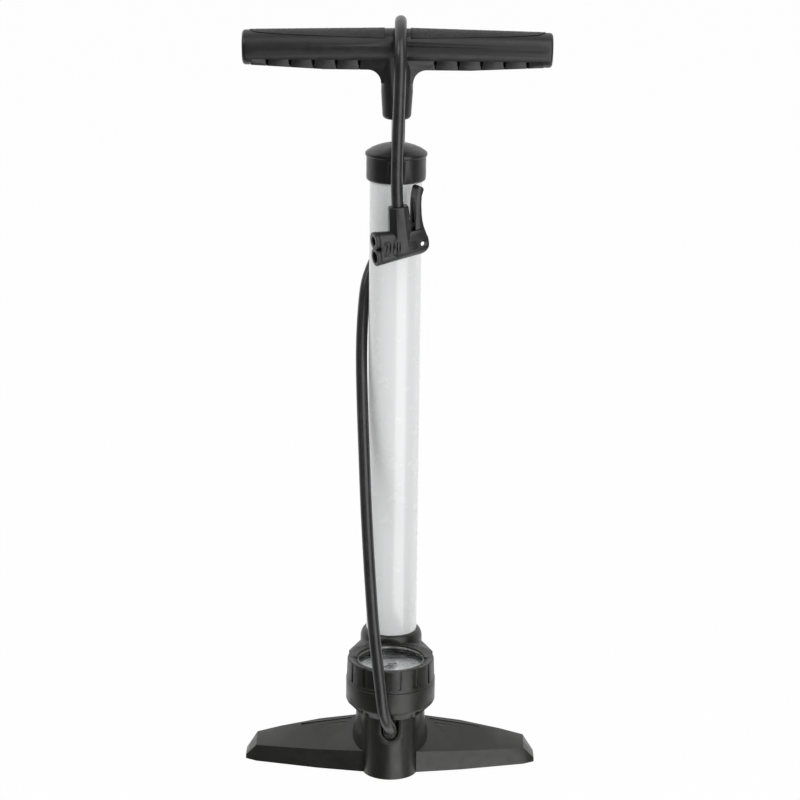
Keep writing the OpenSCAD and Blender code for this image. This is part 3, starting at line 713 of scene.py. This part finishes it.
@dataclass
class Stage:
    """Floor, lamps and surroundings."""

    floor_size: float = 30.0
    surround: float = 0.42
    dim: float = 0.13
    panel: float = 2.4
    glow_above: float = 0.32
    floor_tone: float = 0.86
    floor_glow: float = 0.975
    aim: Vector = field(default_factory=lambda: Vector((0, 0, 0.28)))
    lamps: tuple[tuple[str, Triple, float, float, bool], ...] = (
        ("key", (1.35, -2.1, 1.0), 1.2, 27.0, False),
        ("fill", (-1.5, -1.2, 2.2), 1.0, 15.0, True),
        ("top", (0.1, 0.5, 2.2), 1.6, 14.0, False),
    )

    def build(self) -> None:
        """Make the floor, the world and the lamps."""
        self.floor()
        self.world()
        for lamp in self.lamps:
            self.lamp(*lamp)
        bpy.context.scene.view_settings.view_transform = "Standard"
        log.info("stage made")

    def lamp(self, name: str, place: Triple, size: float, power: float, mirrored: bool) -> None:
        """Add a square soft light at place that faces the pump's middle.

        Args:
            name: the lamp's name.
            place: where it stands, in metres.
            size: length of its sides.
            power: its power in watts.
            mirrored: whether gloss shows it.
        """
        data = bpy.data.lights.new(name, "AREA")
        data.size = size
        data.energy = power
        lamp = bpy.data.objects.new(name, data)
        bpy.context.scene.collection.objects.link(lamp)
        lamp.location = place
        lamp.rotation_euler = (self.aim - Vector(place)).to_track_quat("-Z", "Y").to_euler()
        lamp.visible_glossy = mirrored

    def floor(self) -> None:
        """Make a pale floor that keeps a faint shadow and that gloss looks through."""
        half = self.floor_size / 2
        mesh = bpy.data.meshes.new("floor")
        mesh.from_pydata([(-half, -half, 0), (half, -half, 0), (half, half, 0), (-half, half, 0)], [],
                         [(0, 1, 2, 3)])
        stage = Tree("floor_white")
        tone = (self.floor_tone, self.floor_tone, self.floor_tone, 1)
        surface = stage.add("ShaderNodeBsdfPrincipled", base_color=tone, roughness=0.9)
        glow = stage.add("ShaderNodeEmission", color=(1, 1, 1, 1))
        path = stage.add("ShaderNodeLightPath")
        part = stage.add("ShaderNodeMath", operation="MULTIPLY")
        part.inputs[1].default_value = self.floor_glow
        stage.join(path.outputs["Is Camera Ray"], part.inputs[0])
        mix = stage.add("ShaderNodeMixShader")
        stage.join(part.outputs[0], mix.inputs["Fac"])
        stage.join(surface.outputs[0], mix.inputs[1])
        stage.join(glow.outputs[0], mix.inputs[2])
        through = stage.add("ShaderNodeBsdfTransparent")
        either = stage.add("ShaderNodeMixShader")
        stage.join(path.outputs["Is Glossy Ray"], either.inputs["Fac"])
        stage.join(mix.outputs[0], either.inputs[1])
        stage.join(through.outputs[0], either.inputs[2])
        stage.join(either.outputs[0], stage.output.inputs["Surface"])
        new_object("floor", mesh, stage.material)

    def world(self) -> None:
        """Make surroundings: white to the camera, even to matt faces, and a lit studio to gloss."""
        world = bpy.data.worlds.new("surroundings")
        bpy.context.scene.world = world
        world.use_nodes = True
        tree = world.node_tree
        tree.nodes.clear()
        output = tree.nodes.new("ShaderNodeOutputWorld")
        place = tree.nodes.new("ShaderNodeTexCoord")
        path = tree.nodes.new("ShaderNodeLightPath")

        def ramp(direction: Triple, start: float, stop: float, low: float,
                 high: float) -> bpy.types.NodeSocket:
            """Brightness that goes from low to high as rays turn towards direction."""
            dot = tree.nodes.new("ShaderNodeVectorMath")
            dot.operation = "DOT_PRODUCT"
            dot.inputs[1].default_value = direction
            tree.links.new(place.outputs["Generated"], dot.inputs[0])
            slope = tree.nodes.new("ShaderNodeMapRange")
            slope.interpolation_type = "SMOOTHSTEP"
            for name, value in (("From Min", start), ("From Max", stop), ("To Min", low), ("To Max", high)):
                slope.inputs[name].default_value = value
            tree.links.new(dot.outputs["Value"], slope.inputs["Value"])
            return slope.outputs["Result"]

        def both(operation: str, first: bpy.types.NodeSocket,
                 second: bpy.types.NodeSocket) -> bpy.types.NodeSocket:
            """Combine two brightnesses."""
            node = tree.nodes.new("ShaderNodeMath")
            node.operation = operation
            tree.links.new(first, node.inputs[0])
            tree.links.new(second, node.inputs[1])
            return node.outputs[0]

        behind = ramp((0, 1, 0), -0.15, 0.45, self.dim, 1.0)
        above = ramp((-0.45, 0.1, 0.89), 0.6, 0.95, 0.0, self.glow_above)
        across = (0.839, 0.545, 0)
        left = ramp(across, -0.46, -0.34, 0.0, 1.0)
        right = ramp(across, 0.30, 0.44, self.panel, 0.0)
        front = ramp((0.545, -0.839, 0), 0.25, 0.45, 0.0, 1.0)
        panel = both("MULTIPLY", both("MULTIPLY", left, right), front)
        studio = both("ADD", both("ADD", behind, above), panel)
        grounds = []
        for name in ("white", "even", "studio"):
            ground = tree.nodes.new("ShaderNodeBackground")
            ground.inputs["Color"].default_value = (1, 1, 1, 1)
            ground.inputs["Strength"].default_value = self.surround if name == "even" else 1.0
            grounds.append(ground)
        tree.links.new(studio, grounds[2].inputs["Strength"])
        gloss = tree.nodes.new("ShaderNodeMixShader")
        tree.links.new(path.outputs["Is Glossy Ray"], gloss.inputs["Fac"])
        tree.links.new(grounds[1].outputs[0], gloss.inputs[1])
        tree.links.new(grounds[2].outputs[0], gloss.inputs[2])
        seen = both("MAXIMUM", path.outputs["Is Camera Ray"], path.outputs["Is Transmission Ray"])
        mix = tree.nodes.new("ShaderNodeMixShader")
        tree.links.new(seen, mix.inputs["Fac"])
        tree.links.new(gloss.outputs[0], mix.inputs[1])
        tree.links.new(grounds[0].outputs[0], mix.inputs[2])
        tree.links.new(mix.outputs[0], output.inputs["Surface"])


# ---------------------------------------------------------------- sub-assemblies


@dataclass
class Base:
    """The two-legged base, its shell, pads and screws."""

    edge: float = 0.0006

    def build(self, kit: Kit) -> None:
        """Ease the mouldings' edges and dress the small parts."""
        base = eased_copy("base_body", "base_moulding", kit.base, self.edge, 24.0, 3)
        carry(base, Body.FRAME, "black_plastic", "base_body")
        shell = eased_copy("upper_shell", "shell_moulding", kit.bezel, 0.0004)
        carry(shell, Body.FRAME, "black_plastic", "upper_shell")
        for node in ("left_foot_pad", "right_foot_pad", "front_foot_pad"):
            dress(frame["nodes"][node], kit.seal)
        dress(frame["nodes"]["housing_screws"], kit.steel)


@dataclass
class Barrel:
    """The painted tube with its cap, rod guide and check valve."""

    def build(self, kit: Kit) -> None:
        """Dress the tube and what is in it."""
        cap = eased_copy("barrel_cap", "cap_moulding", kit.cap, 0.0004)
        carry(cap, Body.FRAME, "black_plastic", "barrel_cap")
        finishes = {
            "barrel": kit.paint, "barrel_gasket": kit.seal, "valve_seat": kit.brass,
            "valve_poppet": kit.brass, "valve_spring": kit.steel, "rod_bush": kit.guide,
            "rod_wiper": kit.seal, "top_bumper": kit.seal,
        }
        for node, finish in finishes.items():
            dress(frame["nodes"][node], finish)


@dataclass
class Gauge:
    """The pressure gauge: case, works, dial, needle, lens and ring."""

    centre: Vector = field(default_factory=lambda: Vector((0, -0.05, 0.0928)))
    rows: tuple[tuple[int, float, float, float], ...] = (
        (81, 0.0213, 0.0009, 0.00014), (17, 0.0209, 0.0018, 0.00028),
        (56, 0.0128, 0.0007, 0.00012), (12, 0.0131, 0.0014, 0.00024),
    )
    print_depth: float = 0.00002

    def build(self, kit: Kit) -> None:
        """Dress the gauge."""
        finishes = {
            "gauge_case": kit.bezel, "gauge_socket": kit.brass, "bourdon_tube": kit.brass,
            "gauge_movement": kit.brass, "gauge_dial": kit.dial, "gauge_needle": kit.needle,
            "gauge_lens": kit.lens, "trim_ring": kit.ring, "hose_elbow": kit.brass, "hose_boot": kit.hose,
        }
        for node, finish in finishes.items():
            dress(frame["nodes"][node], finish)
        marks = DialMarks(kit.print)
        for number, (count, radius, length, width) in enumerate(self.rows):
            row = new_object(f"dial_marks_{number}", bpy.data.meshes.new("marks"), kit.print)
            marks.run(row, Count=count, Radius=radius, Length=length, Width=width)
            self.lay(row)
        self.numbers(kit, [str(20 * i) for i in range(9)], 0.0176, 0.0027)
        self.numbers(kit, [str(i) for i in range(12)], 0.0106, 0.0021)

    def lay(self, thing: bpy.types.Object) -> None:
        """Move a piece's mesh onto the dial and let it ride there."""
        thing.data.transform(Matrix.Translation(self.centre))
        carry(thing, Body.FRAME, "dial_print")

    def numbers(self, kit: Kit, words: list[str], radius: float, height: float) -> None:
        """Print plain numbers round the dial, from its lower left to its lower right.

        Args:
            kit: the finishes.
            words: the numbers, in order.
            radius: distance of the numbers from the needle.
            height: size of the figures.
        """
        sheet = bmesh.new()
        for i, word in enumerate(words):
            angle = math.radians(225 - 270 * i / (len(words) - 1))
            curve = bpy.data.curves.new(f"figure_{word}", "FONT")
            curve.body = word
            curve.size = height
            curve.align_x = "CENTER"
            curve.align_y = "CENTER"
            curve.extrude = self.print_depth
            figure = bpy.data.objects.new(curve.name, curve)
            bpy.context.scene.collection.objects.link(figure)
            bpy.context.view_layer.update()
            graph = bpy.context.evaluated_depsgraph_get()
            mesh = bpy.data.meshes.new_from_object(figure.evaluated_get(graph))
            mesh.transform(Matrix.Translation((radius * math.cos(angle), radius * math.sin(angle), 0)))
            sheet.from_mesh(mesh)
            bpy.data.objects.remove(figure)
            bpy.data.meshes.remove(mesh)
        mesh = bpy.data.meshes.new("figures")
        sheet.to_mesh(mesh)
        sheet.free()
        self.lay(new_object(f"dial_figures_{len(words)}", mesh, kit.print))


@dataclass
class Plunger:
    """The handle with its grip pads, the rod and the piston."""

    def build(self, kit: Kit) -> None:
        """Ease the handle's edges and dress the rest."""
        handle = eased_copy("handle_body", "handle_moulding", kit.handle, 0.0005)
        carry(handle, Body.PLUNGER, "handle_plastic", "handle_body")
        pebbles = Pebbles(kit.grip)
        for side in ("left", "right"):
            pad = eased_copy(f"{side}_grip_pad", f"{side}_pad", kit.grip, 0.0004)
            pebbles.run(pad, Gap=0.0009, Radius=0.00034)
            carry(pad, Body.PLUNGER, "grip_rubber", f"{side}_grip_pad")
        finishes = {
            "handle_pin": kit.steel, "rod": kit.steel, "piston_body": kit.guide, "piston_cup_seal": kit.seal,
            "piston_washer": kit.steel, "piston_nut": kit.steel,
        }
        for node, finish in finishes.items():
            dress(frame["nodes"][node], finish)


@dataclass
class Head:
    """The twin-port pump head with its lever."""

    pieces: list[bpy.types.Object] = field(default_factory=list)

    def build(self, kit: Kit) -> None:
        """Ease the head's edges and dress the rest."""
        body = eased_copy("head_body", "head_moulding", kit.head, 0.0004)
        carry(body, Body.PLUNGER, "black_plastic", "head_body")
        cap = eased_copy("head_end_cap", "head_end", kit.head, 0.0004)
        carry(cap, Body.PLUNGER, "black_plastic", "head_end_cap")
        self.pieces = [body, cap]
        lever = eased_copy("head_lever", "lever_moulding", kit.lever, 0.0005)
        carry(lever, Body.LEVER, "black_plastic", "head_lever")
        finishes = {
            "schrader_gasket": kit.seal, "presta_gasket": kit.seal, "head_pusher": kit.guide,
            "lever_pin": kit.steel,
        }
        for node, finish in finishes.items():
            dress(frame["nodes"][node], finish)


def main() -> None:
    """Build the scene in order: camera, hose, stage, then each sub-assembly."""
    logging.basicConfig(level=logging.INFO, format="%(message)s")
    kit = Kit()
    hose, head = Hose(), Head()
    View().build()
    hose.build(kit)
    Stage().build()
    for part in (Base(), Barrel(), Gauge(), Plunger(), head):
        part.build(kit)
    hose.declare(head.pieces)


if __name__ == "__main__":
    main()
